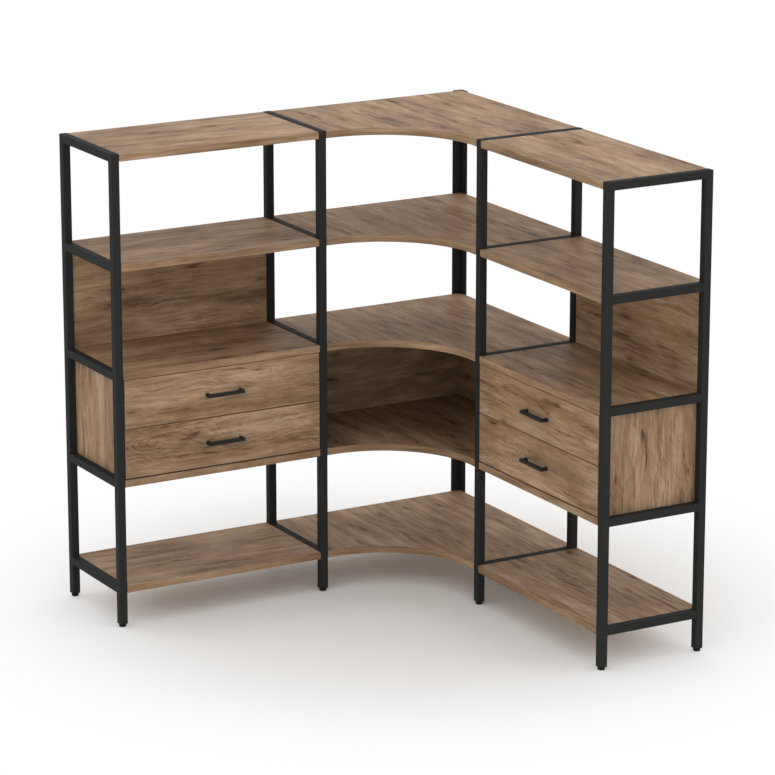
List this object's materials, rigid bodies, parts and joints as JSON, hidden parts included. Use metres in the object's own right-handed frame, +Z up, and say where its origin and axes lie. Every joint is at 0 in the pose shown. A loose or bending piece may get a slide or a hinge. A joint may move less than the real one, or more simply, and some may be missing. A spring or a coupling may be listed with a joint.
{
  "type": "corner shelf unit",
  "caption": "Free-standing L-shaped corner shelf unit in black square steel tube and oak board, with curved corner shelves, open bays and two pairs of drawers.",
  "frame": {"origin": "on the floor, under the centre of the bounding box", "axes": "+Z up; the left wing's front faces -Y and the right wing's front faces -X, so the rear corner is at +X +Y"},
  "size_m": [1.404, 1.404, 1.45],
  "materials": {
    "powder_coat": "satin fine-textured black powder coat on welded steel tube",
    "oak_board": "matt oak-patterned board with matching edge band",
    "drawer_board": "plain light drawer board",
    "handle_black": "satin black square bar",
    "foot_plastic": "matt black plastic",
    "runner_steel": "bright zinc-plated steel"
  },
  "bodies": {
    "root": {"left_end_frame": "powder_coat", "left_end_front_foot": "foot_plastic", "left_end_rear_foot": "foot_plastic", "left_inner_frame": "powder_coat", "left_inner_front_foot": "foot_plastic", "left_inner_rear_foot": "foot_plastic", "left_bottom_shelf": "oak_board", "left_lower_shelf": "oak_board", "left_middle_shelf": "oak_board", "left_upper_shelf": "oak_board", "left_top_shelf": "oak_board", "left_niche_back": "oak_board", "left_cabinet_end_side": "oak_board", "left_cabinet_inner_side": "oak_board", "left_cabinet_back": "oak_board", "left_upper_drawer_end_runner": "runner_steel", "left_upper_drawer_inner_runner": "runner_steel", "left_lower_drawer_end_runner": "runner_steel", "left_lower_drawer_inner_runner": "runner_steel", "right_inner_frame": "powder_coat", "right_inner_front_foot": "foot_plastic", "right_inner_rear_foot": "foot_plastic", "right_end_frame": "powder_coat", "right_end_front_foot": "foot_plastic", "right_end_rear_foot": "foot_plastic", "right_bottom_shelf": "oak_board", "right_lower_shelf": "oak_board", "right_middle_shelf": "oak_board", "right_upper_shelf": "oak_board", "right_top_shelf": "oak_board", "right_niche_back": "oak_board", "right_cabinet_inner_side": "oak_board", "right_cabinet_end_side": "oak_board", "right_cabinet_back": "oak_board", "right_upper_drawer_inner_runner": "runner_steel", "right_upper_drawer_end_runner": "runner_steel", "right_lower_drawer_inner_runner": "runner_steel", "right_lower_drawer_end_runner": "runner_steel", "rear_corner_angle": "powder_coat", "rear_corner_foot": "foot_plastic", "corner_bottom_shelf": "oak_board", "corner_lower_shelf": "oak_board", "corner_middle_shelf": "oak_board", "corner_upper_shelf": "oak_board", "corner_top_shelf": "oak_board", "corner_niche_left_back": "oak_board", "corner_niche_right_back": "oak_board"},
    "left_upper_drawer": {"left_upper_drawer_front": "oak_board", "left_upper_drawer_box": "drawer_board", "left_upper_drawer_handle": "handle_black"},
    "left_lower_drawer": {"left_lower_drawer_front": "oak_board", "left_lower_drawer_box": "drawer_board", "left_lower_drawer_handle": "handle_black"},
    "right_upper_drawer": {"right_upper_drawer_front": "oak_board", "right_upper_drawer_box": "drawer_board", "right_upper_drawer_handle": "handle_black"},
    "right_lower_drawer": {"right_lower_drawer_front": "oak_board", "right_lower_drawer_box": "drawer_board", "right_lower_drawer_handle": "handle_black"}
  },
  "joints": [
    {"name": "left_upper_drawer_slide", "type": "slide", "parent": "root", "child": "left_upper_drawer", "axis": [0, -1, 0], "range_m": [0, 0.25]},
    {"name": "left_lower_drawer_slide", "type": "slide", "parent": "root", "child": "left_lower_drawer", "axis": [0, -1, 0], "range_m": [0, 0.25]},
    {"name": "right_upper_drawer_slide", "type": "slide", "parent": "root", "child": "right_upper_drawer", "axis": [-1, 0, 0], "range_m": [0, 0.25]},
    {"name": "right_lower_drawer_slide", "type": "slide", "parent": "root", "child": "right_lower_drawer", "axis": [-1, 0, 0], "range_m": [0, 0.25]}
  ]
}
